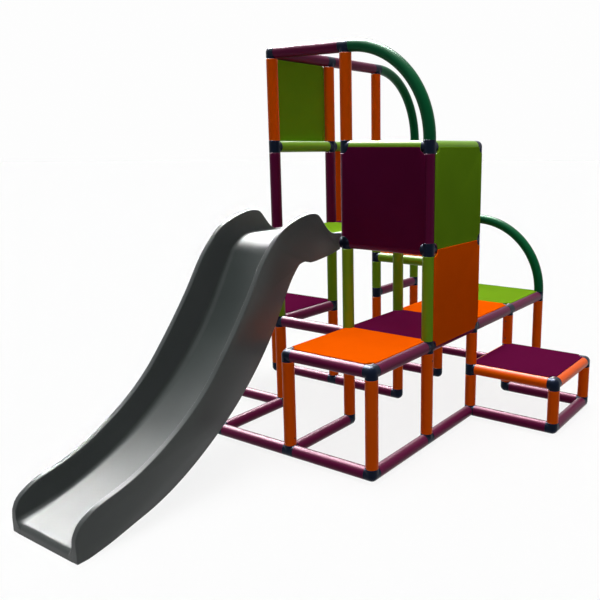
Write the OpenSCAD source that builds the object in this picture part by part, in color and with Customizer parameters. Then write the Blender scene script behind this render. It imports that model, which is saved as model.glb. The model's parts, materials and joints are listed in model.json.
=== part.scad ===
// Modular climbing frame: tubes and plug-in connectors on one square grid, clip-on panels,
// quarter-circle arches and a moulded slide.
// Millimetres, +X to the right of the slide, +Y away from its foot, +Z up.
// The origin is the middle of the footprint, on the floor.

/* [Grid] */
// Distance between the centrelines of neighbouring tubes
pitch = 400; // [340:10:460]
// Outside diameter of every tube and connector arm
tube_d = 50; // [44:1:56]
// Wall of every tube
tube_wall = 3; // [2:0.5:4]

/* [Connectors] */
// Length of a connector's arm past the side of a crossing arm
arm_shoulder = 1.5; // [1:0.5:5]
// Length of the hollow plug that enters a tube
plug_len = 42; // [34:1:60]
// Wall of the hollow plug
plug_wall = 3; // [2:0.5:4]
// Radial play between a plug and its tube
plug_play = 0.3; // [0.1:0.1:0.6]
// Bevel on the tip of a plug
plug_bevel = 2; // [0.5:0.5:2.5]

/* [Panels] */
// Thickness of a panel's face
panel_t = 4; // [3:0.5:8]
// Depth of the raised back that fits between the tubes
back_t = 8; // [6:1:16]
// Width of the clip pockets in a panel's back
pocket_w = 50; // [20:2:60]
// Height of the clip pockets
pocket_h = 7; // [5:1:10]
// Distance from a pocket to the edge of the raised back
pocket_inset = 6; // [4:1:12]
// Depth of the clip pockets
pocket_depth = 5; // [3:0.5:5]
// Gap between a panel's edge and the tube centreline it ends on
panel_edge_gap = 0.5; // [0.2:0.1:2]
// Gap between a panel and the tubes that it sits on
panel_seat_gap = 0.2; // [0.1:0.1:0.5]
// Clearance of the round corner notch about a post
notch_gap = 2.5; // [1:0.5:6]
// Gap between the raised back and the tubes beside it
back_side_gap = 0.5; // [0.3:0.1:2]
// Extra clearance of the raised back about a corner
back_corner = 14; // [12:1:20]

/* [Slide] */
// Gap between the slide and the connectors on both sides of it
slide_side_gap = 1; // [0.5:0.5:5]
// Thickness of the slide's side walls
slide_wall = 16; // [10:1:22]
// Height of the slide's bed over the top of its tube
bed_rise = 12; // [8:1:20]
// Thickness of the bed
bed_t = 9; // [6:1:14]
// Level stretch of bed at the top
level_len = 210; // [180:5:240]
// Radius of the bed where it turns down
crest_r = 145; // [120:5:180]
// Steepest angle of the bed
steep_angle = 59; // [52:1:62]
// Straight stretch of bed at the steepest angle
steep_len = 200; // [120:10:240]
// Angle of the bed at its foot
foot_angle = 8; // [4:0.5:12]
// Height of the bed's front edge over the floor
foot_rise = 34; // [28:1:44]
// Radius of the fillets between bed and walls
fillet_r = 16; // [10:1:40]
// Radius of the rounded front edge of the bed
nose_r = 8; // [5:1:20]
// Gap between the slide's hook and its tube
hook_gap = 0.3; // [0.1:0.1:1]
// Reach of the prong under the tube, short of the tube's centre
prong_back = 18; // [12:1:22]
// Thickness of the ribs under the bed
slide_rib_t = 8; // [4:1:12]
// Number of ribs under the bed
slide_ribs = 6; // [3:1:9]

/* [Hidden] */

orange = "#ff6a00";
purple = "#62103c";
green = "#7dac21";
petrol = "#0b5a34";
navy = "#101828";
grey = "#3a3c3a";

tube_r = tube_d / 2;
bore_r = tube_r - tube_wall;
arm_len = tube_r + arm_shoulder;
plug_r = bore_r - plug_play;
ball_step = 0.2;
eps = 0.01;
$fn = 64;

// Grid places are [a, b, c]: a bays to the left of the right-hand posts, b bays behind the
// front posts and c bays up. The slide reaches furthest forward, the last posts furthest back.
last_bay = 4;
first_side_bay = -1;
last_side_bay = 3;
slide_bay = 1;
slide_level = 2;
slide_row = 1;

// The low seat and the bench stand between two levels of the grid
seat_level = 0.5;
bench_level = 1 + seat_level;

// Axis numbers of a tube: 0 across (to the left), 1 along (to the back), 2 upright
across = 0;
along = 1;
upright = 2;

// The slide's bed is a path of a level stretch, the crest, a steep stretch and a long run-out.
// It is drawn in its own plane: u forward from the tube it hangs on, v up from the floor.
hook_v = slide_level * pitch + tube_r;
bed_top_v = hook_v + tube_r + bed_rise;
crest_len = crest_r * steep_angle * PI / 180;
crest_end = [
    level_len + crest_r * sin(steep_angle),
    bed_top_v - crest_r * (1 - cos(steep_angle))
];
steep_end = crest_end + steep_len * [cos(steep_angle), -sin(steep_angle)];
run_out_r = (steep_end[1] - foot_rise) / (cos(foot_angle) - cos(steep_angle));
run_out_turn = steep_angle - foot_angle;
run_out_len = run_out_r * run_out_turn * PI / 180;
bed_len = level_len + crest_len + steep_len + run_out_len;
foot_u = steep_end[0] + run_out_r * (sin(steep_angle) - sin(foot_angle));
slide_reach = foot_u + nose_r;
slide_width = pitch - tube_d - 2 * slide_side_gap;

front_reach = slide_reach - pitch * slide_row;
x_middle = -pitch * (first_side_bay + last_side_bay) / 2;
y_middle = (pitch * last_bay + tube_r - front_reach) / 2;

// Place of a grid point in the part's own frame
function place(g) = [-g[0] * pitch - x_middle, g[1] * pitch - y_middle, g[2] * pitch + tube_r];

// Step along one axis of the grid
function grid_step(axis, span) = [for (k = [0:2]) k == axis ? span : 0];

// Direction of a grid axis in the part's frame
function grid_dir(axis) = axis == across ? [-1, 0, 0] : axis == along ? [0, 1, 0] : [0, 0, 1];

// Tubes, as [a, b, c, span]: the grid point where each starts and its length in bays
floor_across = [
    [0, 0, 0, 1], [1, 0, 0, 1], [2, 1, 0, 1], [-1, 2, 0, 1], [1, 2, 0, 1], [2, 2, 0, 1],
    [-1, 3, 0, 1], [1, 3, 0, 1], [0, 4, 0, 1], [1, 4, 0, 1]
];
floor_along = [
    [0, 0, 0, 1], [0, 1, 0, 1], [1, 0, 0, 1], [2, 0, 0, 1], [-1, 2, 0, 1], [0, 3, 0, 1],
    [2, 3, 0, 1]
];
lower_front = [[0, 0, 0, 1], [1, 0, 0, 1], [0, 1, 0, 1], [1, 1, 0, 1], [2, 1, 0, 1], [3, 1, 0, 1]];
lower_middle = [[1, 2, 0, 1], [2, 2, 0, 1], [3, 2, 0, 1]];
lower_back = [[1, 3, 0, 1], [2, 3, 0, 1], [0, 4, 0, 1], [1, 4, 0, 1], [2, 4, 0, 1]];
seat_short = [
    for (b = [2, 3]) each [
        [0, b, 0, seat_level], [0, b, seat_level, 1 - seat_level], [-1, b, 0, seat_level]
    ]
];
seat_across = [for (b = [2, 3]) [-1, b, seat_level, 1]];
seat_along = [for (a = [-1, 0]) [a, 2, seat_level, 1]];
deck_across = [
    [0, 0, 1, 1], [0, 1, 1, 1], [0, 2, 1, 1], [0, 3, 1, 1], [0, 4, 1, 1], [1, 1, 1, 1],
    [2, 1, 1, 1], [2, 2, 1, 1]
];
deck_along = [
    for (a = [0, 1], b = [0:3]) [a, b, 1, 1],
    [2, 1, 1, 1], [2, 3, 1, 1], [3, 1, 1, 1]
];
second_storey = [for (a = [0:2], b = [1, 2]) [a, b, 1, 1]];
bench_short = [
    for (a = [1, 2], b = [3, 4]) each [
        [a, b, 1, bench_level - 1], [a, b, bench_level, 2 - bench_level]
    ]
];
bench_across = [for (b = [3, 4]) [1, b, bench_level, 1]];
bench_along = [for (a = [1, 2]) [a, 3, bench_level, 1]];
platform_across = [
    [0, 1, 2, 1], [1, 1, 2, 1], [0, 2, 2, 1], [1, 2, 2, 1], [1, 3, 2, 1], [1, 4, 2, 1]
];
platform_along = [
    [0, 1, 2, 1], [1, 1, 2, 1], [2, 1, 2, 1], [1, 2, 2, 1], [2, 2, 2, 1], [1, 3, 2, 1],
    [2, 3, 2, 1]
];
third_storey = [
    [0, 1, 2, 1], [0, 2, 2, 1], [1, 1, 2, 1], [1, 2, 2, 1], [2, 1, 2, 1], [2, 2, 2, 1],
    [2, 3, 2, 1], [2, 4, 2, 1]
];
upper_across = [[0, 1, 3, 1], [0, 2, 3, 1]];
upper_along = [[0, 1, 3, 1], [2, 1, 3, 1], [2, 2, 3, 1], [2, 3, 3, 1]];
top_storey = [[1, 1, 3, 1], [2, 1, 3, 1], [2, 2, 3, 1], [2, 3, 3, 1]];
top_across = [[1, 1, 4, 1]];
top_along = [[2, 1, 4, 1], [2, 2, 4, 1]];

// Arches, as [grid point of the level end, the way it leaves there, turned down one bay]
arch_starts = [[1, 1, 4], [2, 3, 4], [1, 4, 2]];
arch_steps = [[-1, 0, 0], [0, 1, 0], [-1, 0, 0]];

every_across = concat(floor_across, seat_across, deck_across, bench_across, platform_across,
                      upper_across, top_across);
every_along = concat(floor_along, seat_along, deck_along, bench_along, platform_along,
                     upper_along, top_along);
every_upright = concat(lower_front, lower_middle, lower_back, seat_short, second_storey,
                       bench_short, third_storey, top_storey);

function same(p, q) = norm(p - q) < eps;
function grid_point(t) = [t[0], t[1], t[2]];

// True when a tube of the list starts (or ends) at grid point g
function starts_at(list, g) = len([for (t = list) if (same(grid_point(t), g)) t]) > 0;
function ends_at(list, axis, g) =
    len([for (t = list) if (same(grid_point(t) + grid_step(axis, t[3]), g)) t]) > 0;

// Directions, in the part's frame, in which something is plugged in at grid point g
function arms_at(g) = concat(
    starts_at(every_across, g) ? [[-1, 0, 0]] : [],
    ends_at(every_across, across, g) ? [[1, 0, 0]] : [],
    starts_at(every_along, g) ? [[0, 1, 0]] : [],
    ends_at(every_along, along, g) ? [[0, -1, 0]] : [],
    starts_at(every_upright, g) ? [[0, 0, 1]] : [],
    ends_at(every_upright, upright, g) ? [[0, 0, -1]] : [],
    [for (k = [0:2]) if (same(arch_starts[k], g)) grid_to_frame(arch_steps[k])],
    [for (k = [0:2]) if (same(arch_starts[k] + arch_steps[k] - [0, 0, 1], g)) [0, 0, 1]]
);
function grid_to_frame(step) = [-step[0], step[1], step[2]];

// Turns +Z to a direction along an axis of the frame
module aim(dir) {
    if (dir[2] == 1) children();
    else if (dir[2] == -1) rotate([180, 0, 0]) children();
    else if (dir[0] != 0) rotate([0, 90 * dir[0], 0]) children();
    else rotate([-90 * dir[1], 0, 0]) children();
}

// Hollow tube between the connectors at both ends of its stretch of the grid
module tube(start, axis, span) {
    length = span * pitch - 2 * arm_len;
    translate(place(start)) aim(grid_dir(axis)) translate([0, 0, arm_len]) difference() {
        cylinder(r = tube_r, h = length);
        translate([0, 0, -1]) cylinder(r = bore_r, h = length + 2);
    }
}

module tubes(list, axis) {
    for (t = list) tube(grid_point(t), axis, t[3]);
}

// Connector: a round body whose arms end where the tubes start, and a plug for each tube
module connector(g) {
    arms = arms_at(g);
    translate(place(g)) difference() {
        union() {
            sphere(r = tube_r - ball_step);
            for (d = arms) aim(d) connector_arm();
        }
        for (d = arms) aim(d) translate([0, 0, arm_len])
            cylinder(r = plug_r - plug_wall, h = plug_len + 1);
    }
}

module connector_arm() {
    cylinder(r = tube_r, h = arm_len);
    rotate_extrude() polygon([
        [0, arm_len - 1], [plug_r, arm_len - 1], [plug_r, arm_len + plug_len - plug_bevel],
        [plug_r - plug_bevel, arm_len + plug_len], [0, arm_len + plug_len]
    ]);
}

// Every connector on one level of the grid
module connectors(level) {
    for (a = [first_side_bay:last_side_bay], b = [0:last_bay])
        if (len(arms_at([a, b, level])) > 0) connector([a, b, level]);
}

// Quarter-circle arch: leaves its first connector level and comes down on the second
module arch(k) {
    step = grid_to_frame(arch_steps[k]);
    bend_r = pitch - arm_len;
    translate(place(arch_starts[k]) + step * arm_len - [0, 0, bend_r])
        rotate([0, 0, atan2(step[1], step[0])]) rotate([90, 0, 0])
        rotate_extrude(angle = 90, $fn = 128) translate([bend_r, 0]) difference() {
            circle(r = tube_r, $fn = 64);
            circle(r = bore_r, $fn = 64);
        }
}

// Panel, drawn face up about its own middle, with its raised back pointing down
module panel_blank() {
    side = pitch - 2 * panel_edge_gap;
    back_side = pitch - tube_d - 2 * back_side_gap;
    back_v = tube_r + panel_seat_gap - back_t;
    pocket_x = back_side / 2 - pocket_inset / 2 - pocket_w;
    pocket_y = back_side / 2 - pocket_inset - pocket_h;
    difference() {
        union() {
            translate([0, 0, tube_r + panel_seat_gap]) linear_extrude(panel_t) difference() {
                square(side, center = true);
                for (x = [-1, 1], y = [-1, 1])
                    translate([x, y] * pitch / 2) circle(r = tube_r + notch_gap);
            }
            translate([0, 0, back_v]) linear_extrude(back_t + 1) difference() {
                square(back_side, center = true);
                for (x = [-1, 1], y = [-1, 1])
                    translate([x, y] * pitch / 2) circle(r = tube_r + notch_gap + back_corner);
            }
        }
        for (x = [0, 1], y = [0, 1]) mirror([x, 0, 0]) mirror([0, y, 0])
            translate([pocket_x, pocket_y, back_v - 1]) cube([pocket_w, pocket_h, pocket_depth + 1]);
    }
}

// Deck panel on the bay whose right front corner is grid point g
module deck_panel(g) {
    translate(place(g + [1, 1, 0] / 2)) panel_blank();
}

// Wall panel across the front of a bay, face towards -Y
module front_wall_panel(g) {
    translate(place(g + [1, 0, 1] / 2)) rotate([90, 0, 0]) panel_blank();
}

// Wall panel along the side of a bay, face towards +X (side = 1) or -X (side = -1)
module side_wall_panel(g, side) {
    translate(place(g + [0, 1, 1] / 2)) rotate([0, 90 * side, 0]) panel_blank();
}

// Place and slope of the bed at distance l along it, as [u, v, slope]
function bed_at(l) =
    l <= level_len ? [l, bed_top_v, 0] :
    l <= level_len + crest_len ? crest_at((l - level_len) / crest_r * 180 / PI) :
    l <= level_len + crest_len + steep_len ? steep_at(l - level_len - crest_len) :
    run_out_at(steep_angle - (l - level_len - crest_len - steep_len) / run_out_r * 180 / PI);
function crest_at(s) = [level_len + crest_r * sin(s), bed_top_v - crest_r * (1 - cos(s)), s];
function steep_at(d) = [
    crest_end[0] + d * cos(steep_angle), crest_end[1] - d * sin(steep_angle), steep_angle
];
function run_out_at(s) = [
    steep_end[0] + run_out_r * (sin(steep_angle) - sin(s)),
    steep_end[1] - run_out_r * (cos(s) - cos(steep_angle)), s
];

// Point at height d square to the bed
function off_bed(l, d) = let (p = bed_at(l)) [p[0] + d * sin(p[2]), p[1] + d * cos(p[2])];

// Height of the side walls over the bed, as [distance along the bed, height]. The second list
// of each pair counts from the bed's front edge. The lists are drawn at a pitch of 400.
wall_scale = pitch / 400;
wall_heights = concat(
    wall_scale * [
        [0, 5], [65, 8], [98, 27], [128, 60], [156, 90], [190, 100], [228, 98], [265, 98],
        [309, 109], [345, 119], [385, 129], [440, 137], [530, 140]
    ],
    [for (p = wall_scale * [
        [966, 143], [821, 137], [689, 124], [580, 116], [487, 111], [403, 107], [325, 104],
        [254, 102], [190, 103], [128, 104], [86, 100], [44, 87], [24, 76], [9, 61], [0, 45]
    ]) [bed_len - p[0], p[1]]]
);
// Depth of the side walls under the bed, the same way
wall_depths = concat(
    wall_scale * [
        [0, 60], [57, 76], [122, 88], [226, 97], [313, 73], [370, 52], [450, 40], [700, 41]
    ],
    [for (p = wall_scale * [
        [570, 43], [360, 46], [272, 44], [191, 39], [78, 39], [0, 37]
    ]) [bed_len - p[0], p[1]]]
);

// Smooth curve through a list of [x, y], at x
function curve(list, x) = let (
    last = len(list) - 1,
    hits = [for (k = [0:last - 1]) if (x >= list[k][0] - eps && x <= list[k + 1][0] + eps) k],
    i = hits[0],
    p = list[i],
    q = list[i + 1],
    w = q[0] - p[0],
    m0 = slope_at(list, i) * w,
    m1 = slope_at(list, i + 1) * w,
    t = (x - p[0]) / w
) p[1] * (2 * t ^ 3 - 3 * t ^ 2 + 1) + m0 * (t ^ 3 - 2 * t ^ 2 + t)
    + q[1] * (3 * t ^ 2 - 2 * t ^ 3) + m1 * (t ^ 3 - t ^ 2);
function slope_at(list, i) = let (
    j = max(i - 1, 0),
    k = min(i + 1, len(list) - 1)
) (list[k][1] - list[j][1]) / (list[k][0] - list[j][0]);

outline_step = 20;
outline_steps = ceil(bed_len / outline_step);
outline_stations = [for (k = [0:outline_steps]) k * bed_len / outline_steps];

// Side view of the slide: its walls' top edges, front, underside and hook
module slide_outline() {
    top = [for (l = outline_stations) off_bed(l, curve(wall_heights, l))];
    under = [
        for (l = outline_stations) let (p = off_bed(l, -curve(wall_depths, l)))
            if (p[0] > prong_back) [p[0], max(p[1], 0)]
    ];
    lead = len(under) - 1;
    prong_v = hook_v - tube_r - hook_gap + 2;
    difference() {
        polygon(concat(
            top,
            [[slide_reach, foot_rise + nose_r], [slide_reach, 0]],
            [for (k = [lead:-1:0]) under[k]],
            [[prong_back, prong_v - 6], [prong_back, hook_v], [0, hook_v]]
        ));
        translate([0, hook_v]) circle(r = tube_r + hook_gap);
    }
}

// Sets a shape drawn in the slide's plane upright in the frame; it grows to the left
module slide_place() {
    start = place([slide_bay, slide_row, 0]);
    translate([start[0] - tube_r - slide_side_gap, start[1], 0]) rotate([90, 0, -90]) children();
}

// Section of the bed across the slide: height over the bed along x, across the slide along y
fillet_lead = 0.5;
bed_root = 4;
module bed_section(grow = 0) {
    inner = slide_width - 2 * slide_wall;
    centre = fillet_r - fillet_lead;
    root = bed_root + grow;
    translate([-bed_t - grow, slide_wall - root]) square([bed_t + 2 * grow, inner + 2 * root]);
    for (edge = [0, 1]) translate([0, edge * slide_width]) mirror([0, edge, 0])
        translate([0, slide_wall]) difference() {
            translate([-2, -root]) square([centre + 2, centre + root]);
            translate([centre, centre]) circle(r = fillet_r - grow, $fn = 64);
        }
}

// Bed swept along its path; its curved stretches lap over the straight ones, a hair proud
joint_step = 0.3;
joint_lap = 2;
module bed_sweep() {
    crest_lap = joint_lap / crest_r * 180 / PI;
    run_lap = joint_lap / run_out_r * 180 / PI;
    run_out_centre = steep_end + run_out_r * [sin(steep_angle), cos(steep_angle)];
    rotate([90, 0, 90]) translate([bed_top_v, 0, 0]) linear_extrude(level_len) bed_section();
    translate([level_len, bed_top_v - crest_r, 0]) rotate([0, 0, 90 - steep_angle - crest_lap])
        rotate_extrude(angle = steep_angle + 2 * crest_lap, $fn = 180)
        translate([crest_r, 0]) bed_section(joint_step);
    translate([crest_end[0], crest_end[1], 0]) rotate([0, 0, -steep_angle])
        rotate([90, 0, 90]) linear_extrude(steep_len) bed_section();
    translate([run_out_centre[0], run_out_centre[1], 0])
        rotate([0, 0, 270 - steep_angle - run_lap])
        rotate_extrude(angle = run_out_turn + run_lap, $fn = 360)
        translate([run_out_r, 0]) mirror([1, 0]) bed_section(joint_step);
}

// Rounded front edge of the bed, down to the floor
module bed_nose() {
    inner = slide_width - 2 * slide_wall;
    back_u = foot_u - nose_r;
    translate([0, 0, slide_wall - bed_root]) linear_extrude(inner + 2 * bed_root) {
        intersection() {
            translate([foot_u - nose_r * sin(foot_angle), foot_rise - nose_r]) circle(r = nose_r);
            translate([back_u, 0]) square([2 * nose_r, foot_rise + nose_r]);
        }
        translate([back_u, 0])
            square([2 * nose_r - nose_r * sin(foot_angle), foot_rise - nose_r]);
    }
}

// Ribs under the bed and the block behind the hook
module slide_stiffeners() {
    inner = slide_width - 2 * slide_wall;
    rib_span = bed_len - level_len - 2 * nose_r;
    translate([0, 0, slide_wall - bed_root]) linear_extrude(inner + 2 * bed_root) {
        for (k = [0:slide_ribs - 1]) {
            p = bed_at(level_len + k * rib_span / slide_ribs);
            translate([p[0], p[1]]) rotate(-p[2])
                translate([-slide_rib_t / 2, -bed_t - 16]) square([slide_rib_t, 17]);
        }
        intersection() {
            slide_outline();
            translate([0, hook_v - 2 * tube_r]) square([2 * tube_r + slide_rib_t, 4 * tube_r]);
        }
    }
}

module slide() {
    color(grey) slide_place() {
        for (side = [0, slide_width - slide_wall])
            translate([0, 0, side]) linear_extrude(slide_wall) slide_outline();
        intersection() {
            bed_sweep();
            translate([0, 0, 1]) linear_extrude(slide_width - 2) slide_outline();
        }
        bed_nose();
        slide_stiffeners();
    }
}

module floor_rails_across() { color(purple) tubes(floor_across, across); }
module floor_rails_along() { color(purple) tubes(floor_along, along); }
module lower_posts_front() { color(orange) tubes(lower_front, upright); }
module lower_posts_middle() { color(orange) tubes(lower_middle, upright); }
module lower_posts_back() { color(orange) tubes(lower_back, upright); }
module seat_short_posts() { color(orange) tubes(seat_short, upright); }
module seat_rails() { color(orange) { tubes(seat_across, across); tubes(seat_along, along); } }
module deck_rails_across() { color(purple) tubes(deck_across, across); }
module deck_rails_along() { color(purple) tubes(deck_along, along); }
module second_posts() { color(green) tubes(second_storey, upright); }
module bench_short_posts() { color(green) tubes(bench_short, upright); }
module bench_rails() { color(green) { tubes(bench_across, across); tubes(bench_along, along); } }
module platform_rails_across() { color(purple) tubes(platform_across, across); }
module platform_rails_along() { color(purple) tubes(platform_along, along); }
module third_posts() { color(purple) tubes(third_storey, upright); }
module upper_rails_across() { color(green) tubes(upper_across, across); }
module upper_rails_along() { color(green) tubes(upper_along, along); }
module top_posts() { color(orange) tubes(top_storey, upright); }
module top_rails() { color(purple) { tubes(top_across, across); tubes(top_along, along); } }

module floor_connectors() { color(navy) connectors(0); }
module seat_connectors() { color(navy) connectors(seat_level); }
module deck_connectors() { color(navy) connectors(1); }
module bench_connectors() { color(navy) connectors(bench_level); }
module platform_connectors() { color(navy) connectors(2); }
module upper_connectors() { color(navy) connectors(3); }
module top_connectors() { color(navy) connectors(4); }

module front_deck_panel() { color(orange) deck_panel([0, 0, 1]); }
module second_deck_panel() { color(purple) deck_panel([0, 1, 1]); }
module third_deck_panel() { color(orange) deck_panel([0, 2, 1]); }
module back_deck_panel() { color(green) deck_panel([0, 3, 1]); }
module low_seat_panel() { color(purple) deck_panel([-1, 2, seat_level]); }
module side_deck_panel() { color(purple) deck_panel([2, 1, 1]); }
module bench_panel() { color(orange) deck_panel([1, 3, bench_level]); }
module slide_platform_panel() { color(green) deck_panel([1, 1, 2]); }
module tower_floor_panel() { color(purple) deck_panel([1, 2, 2]); }
module den_floor_panel() { color(orange) deck_panel([0, 1, 2]); }
module den_front_wall() { color(purple) front_wall_panel([0, 1, 2]); }
module den_side_wall() { color(green) side_wall_panel([0, 1, 2], 1); }
module crawl_side_wall() { color(orange) side_wall_panel([0, 1, 1], 1); }
module tower_side_wall() { color(green) side_wall_panel([2, 1, 3], -1); }
module tower_back_wall() { color(orange) side_wall_panel([2, 2, 2], -1); }

module tower_front_arch() { color(petrol) arch(0); }
module tower_back_arch() { color(petrol) arch(1); }
module bench_arch() { color(petrol) arch(2); }

floor_rails_across();
floor_rails_along();
lower_posts_front();
lower_posts_middle();
lower_posts_back();
seat_short_posts();
seat_rails();
deck_rails_across();
deck_rails_along();
second_posts();
bench_short_posts();
bench_rails();
platform_rails_across();
platform_rails_along();
third_posts();
upper_rails_across();
upper_rails_along();
top_posts();
top_rails();
floor_connectors();
seat_connectors();
deck_connectors();
bench_connectors();
platform_connectors();
upper_connectors();
top_connectors();
front_deck_panel();
second_deck_panel();
third_deck_panel();
back_deck_panel();
low_seat_panel();
side_deck_panel();
bench_panel();
slide_platform_panel();
tower_floor_panel();
den_floor_panel();
den_front_wall();
den_side_wall();
crawl_side_wall();
tower_side_wall();
tower_back_wall();
tower_front_arch();
tower_back_arch();
bench_arch();
slide();
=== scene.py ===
"""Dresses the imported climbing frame: tubes, connectors, panels, arches, slide, screws and stage."""

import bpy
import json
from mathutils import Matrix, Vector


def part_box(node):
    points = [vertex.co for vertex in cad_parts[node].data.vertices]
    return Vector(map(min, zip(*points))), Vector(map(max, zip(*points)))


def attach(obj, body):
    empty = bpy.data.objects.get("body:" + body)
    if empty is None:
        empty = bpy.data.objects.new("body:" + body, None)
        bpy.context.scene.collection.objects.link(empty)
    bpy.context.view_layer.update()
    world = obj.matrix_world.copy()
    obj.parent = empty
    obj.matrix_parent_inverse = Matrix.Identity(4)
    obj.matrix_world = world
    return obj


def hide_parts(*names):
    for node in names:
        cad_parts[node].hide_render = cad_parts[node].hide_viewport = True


bl_info = {
    "name": "Climbing frame",
    "version": (1, 0, 0),
    "blender": (4, 5, 0),
    "location": "View3D > Sidebar > Climbing frame",
    "description": "Builds the plastic pieces of a modular climbing frame with a moulded slide",
    "category": "Add Mesh",
}

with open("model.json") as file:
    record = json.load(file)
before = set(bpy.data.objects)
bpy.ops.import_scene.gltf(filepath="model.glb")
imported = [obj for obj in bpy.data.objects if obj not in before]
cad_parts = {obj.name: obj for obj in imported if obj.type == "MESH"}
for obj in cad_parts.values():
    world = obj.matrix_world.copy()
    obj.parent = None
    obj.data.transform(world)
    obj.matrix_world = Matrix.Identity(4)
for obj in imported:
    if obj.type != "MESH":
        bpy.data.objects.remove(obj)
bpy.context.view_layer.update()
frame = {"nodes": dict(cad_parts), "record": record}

import json
import math

import bmesh
import bpy
import numpy as np
from bpy.props import FloatProperty, FloatVectorProperty, IntProperty, PointerProperty
from mathutils import Matrix, Vector

BODY = "root"
SLOT_OF = {part["node"]: part["material_slot"] for part in frame["record"]["subparts"]}
MM = 0.001
TINY = 1e-9

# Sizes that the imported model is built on
PITCH = 400 * MM
TUBE_R = 25 * MM
TUBE_WALL = 3 * MM
ARM_SHOULDER = 1.5 * MM
PLUG_PLAY = 0.3 * MM
PLUG_WALL = 3.2 * MM
PLUG_BEVEL = 2 * MM
PLUG_LENGTH = 42 * MM
PANEL_EDGE_GAP = 0.5 * MM
BORE_R = TUBE_R - TUBE_WALL
PLUG_R = BORE_R - PLUG_PLAY
PLUG_BORE_R = PLUG_R - PLUG_WALL
ARM = TUBE_R + ARM_SHOULDER
BEND_R = PITCH - ARM

# The grid's crossing on the floor below the right-hand front corner of the decks
GRID_START = (
    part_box("low_seat_panel")[1].x - PITCH + PANEL_EDGE_GAP,
    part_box("front_deck_panel")[0].y - PANEL_EDGE_GAP,
    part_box("floor_rails_across")[0].z + TUBE_R,
)

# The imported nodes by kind; each wall faces outwards in the direction given
TUBE_NODES = [node for node in SLOT_OF if "_posts" in node or "_rails" in node]
CONNECTOR_NODES = [node for node in SLOT_OF if node.endswith("_connectors")]
DECK_NODES = [node for node in SLOT_OF if node.endswith("_panel")]
WALL_FACINGS = {
    "den_front_wall": (0, -1, 0),
    "den_side_wall": (1, 0, 0),
    "crawl_side_wall": (1, 0, 0),
    "tower_side_wall": (-1, 0, 0),
    "tower_back_wall": (-1, 0, 0),
}
# Each arch leaves its level connector in this direction
ARCH_STEPS = {
    "tower_front_arch": (1, 0, 0),
    "tower_back_arch": (0, 1, 0),
    "bench_arch": (1, 0, 0),
}


# Settings in the sidebar


def colour_setting(label, note, value):
    """A colour that the user can pick."""
    return FloatVectorProperty(name=label, description=note, default=value, subtype="COLOR",
                               min=0, max=1)


def length_setting(label, note, value, least=0):
    """A length that the user can set."""
    return FloatProperty(name=label, description=note, default=value, min=least, unit="LENGTH")


def share_setting(label, note, value, most):
    """A strength that the user can set."""
    return FloatProperty(name=label, description=note, default=value, min=0, max=most)


class FrameColours(bpy.types.PropertyGroup):
    """Colours of the plastics."""

    orange: colour_setting("Orange", "Lower posts, seat rails and decks", (1.0, 0.122, 0.0006))
    purple: colour_setting("Purple", "Rails, third posts and panels", (0.1221, 0.0052, 0.0452))
    green: colour_setting("Green", "Second posts, upper rails and panels", (0.205, 0.413, 0.0152))
    petrol: colour_setting("Petrol", "The three arches", (0.0033, 0.1022, 0.0343))
    navy: colour_setting("Navy", "Every connector", (0.0052, 0.0091, 0.0212))
    slide: colour_setting("Slide grey", "The moulded slide", (0.050, 0.060, 0.058))


class FrameSizes(bpy.types.PropertyGroup):
    """Sizes of the small forms on the pieces."""

    joint_bevel: length_setting("Joint bevel", "Bevel where tube and connector meet", 0.8 * MM)
    panel_round: length_setting("Panel edge radius", "Rounding of a panel's face edge", 1.6 * MM)
    rim_round: length_setting("Slide rim radius", "Rounding of the slide's wall edges", 3.5 * MM)
    screw_d: length_setting("Screw head", "Diameter of the locking screws", 8 * MM)
    screw_reach: length_setting("Screw distance", "From a grid point to its screws", 57 * MM)
    segments: IntProperty(name="Tube segments", description="Faces round a tube",
                          default=48, min=16, max=96)


class StageSizes(bpy.types.PropertyGroup):
    """Light and floor."""

    sun: share_setting("Overhead light", "Share of the light that casts shadows", 0.30, 4)
    fill: share_setting("Overhead fill", "Share of the light that casts no shadows", 0.58, 4)
    side_fill: share_setting("Side fill", "Share of the light on the upright faces", 0.10, 2)
    ambient: share_setting("Room light", "Share of the light from all round", 0.10, 2)
    rail_gloss: share_setting("Rail gloss", "Strength of the highlights on the tubes", 11.0, 20)
    slide_gloss: share_setting("Slide gloss", "Strength of the highlights on the slide", 4.4, 20)
    sun_angle: FloatProperty(name="Overhead softness", description="Width of the overhead light",
                             default=math.radians(38), subtype="ANGLE")
    floor_r: length_setting("Floor radius", "Radius of the studio floor", 60, least=5)
    floor_grey: share_setting("Floor bounce", "Brightness of the floor to the object", 0.12, 1)
    shadow_share: share_setting("Shadow share", "Strength of the shadow on the floor", 0.30, 1)


# Shader maths


class Sock:
    """A shader socket that can stand in sums and products."""

    def __init__(self, maker, socket):
        self.maker = maker
        self.socket = socket

    def _math(self, operation, first, second):
        return self.maker.add("ShaderNodeMath", {0: first, 1: second}, operation=operation)

    def __add__(self, other):
        return self._math("ADD", self, other)

    __radd__ = __add__

    def __sub__(self, other):
        return self._math("SUBTRACT", self, other)

    def __mul__(self, other):
        return self._math("MULTIPLY", self, other)

    __rmul__ = __mul__


# Sockets of the mix node that are for colours; they share their names with others
MIX_FACTOR, MIX_A, MIX_B, MIX_COLOUR = 0, 6, 7, 2


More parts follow.
